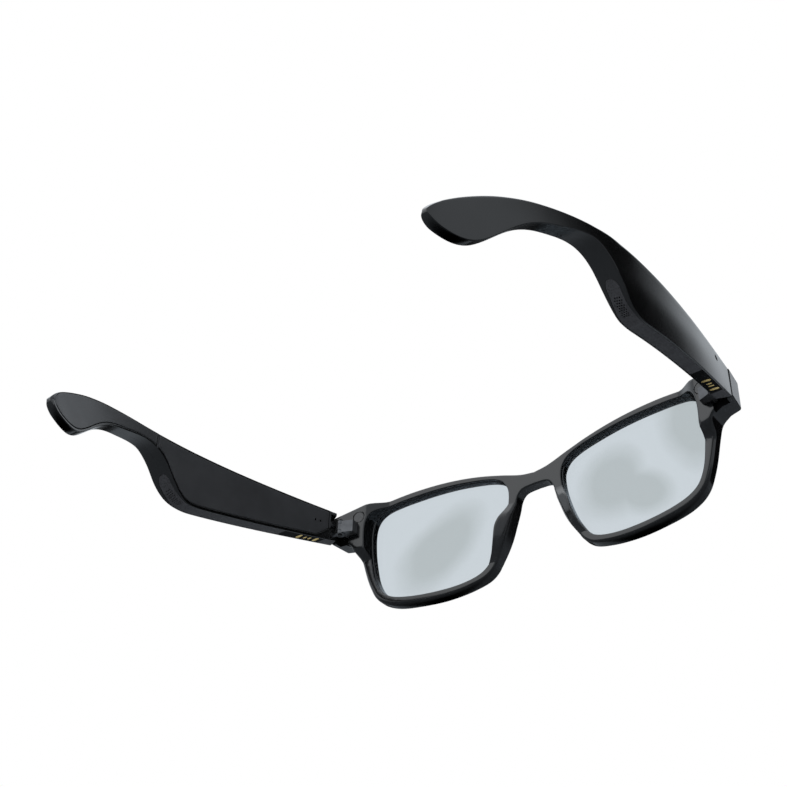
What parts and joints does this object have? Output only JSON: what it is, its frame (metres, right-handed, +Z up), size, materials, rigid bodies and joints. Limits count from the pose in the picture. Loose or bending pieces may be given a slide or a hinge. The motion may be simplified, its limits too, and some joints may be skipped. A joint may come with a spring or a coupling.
{
  "type": "smart glasses",
  "caption": "Smart glasses with clear lenses in a glossy one-piece front and deep folding temples that hold battery, board, speaker and microphones, with charging contacts under the hinge end.",
  "frame": {"origin": "middle of the bounding box in plan, at the level of the surface it stands on", "axes": "+X to the wearer's left, -Y the way the front faces, +Z up"},
  "size_m": [0.1568, 0.1454, 0.0423],
  "materials": {
    "gloss_black": "polished black",
    "satin_grey": "fine satin",
    "black_block": "gloss",
    "pad_black": "satin",
    "lens": "clear, coated",
    "gold": "gold plated",
    "hinge_metal": "black coated steel",
    "steel": "turned",
    "foil": "pouch foil",
    "board": "solder mask",
    "driver": "moulded",
    "mic_can": "plated can",
    "film": "polyimide film"
  },
  "bodies": {
    "front": {"front_frame": "gloss_black", "left_lens": "lens", "right_lens": "lens", "left_nose_pad": "pad_black", "right_nose_pad": "pad_black", "left_frame_hinge": "hinge_metal", "right_frame_hinge": "hinge_metal", "left_frame_screw": "steel", "right_frame_screw": "steel", "left_screw_cap": "pad_black", "right_screw_cap": "pad_black", "left_hinge_pin": "steel", "right_hinge_pin": "steel"},
    "left_temple": {"left_temple_shell": "gloss_black", "left_inner_cover": "satin_grey", "left_tip_cover": "satin_grey", "left_speaker_strip": "satin_grey", "left_contact_block": "black_block", "left_charge_contacts": "gold", "left_temple_hinge": "hinge_metal", "left_leaf_screws": "steel", "left_battery": "foil", "left_circuit_board": "board", "left_speaker": "driver", "left_microphones": "mic_can", "left_touch_sensor": "film", "left_flex_cable": "film"},
    "right_temple": {"right_temple_shell": "gloss_black", "right_inner_cover": "satin_grey", "right_tip_cover": "satin_grey", "right_speaker_strip": "satin_grey", "right_contact_block": "black_block", "right_charge_contacts": "gold", "right_temple_hinge": "hinge_metal", "right_leaf_screws": "steel", "right_battery": "foil", "right_circuit_board": "board", "right_speaker": "driver", "right_microphones": "mic_can", "right_touch_sensor": "film", "right_flex_cable": "film"}
  },
  "joints": [
    {"name": "left_fold", "type": "hinge", "parent": "front", "child": "left_temple", "pos_m": [0.0681, -0.0557, 0.0308], "axis": [0, 0, 1], "range_deg": [0, 88]},
    {"name": "right_fold", "type": "hinge", "parent": "front", "child": "right_temple", "pos_m": [-0.0681, -0.0557, 0.0308], "axis": [0, 0, -1], "range_deg": [0, 80]}
  ]
}
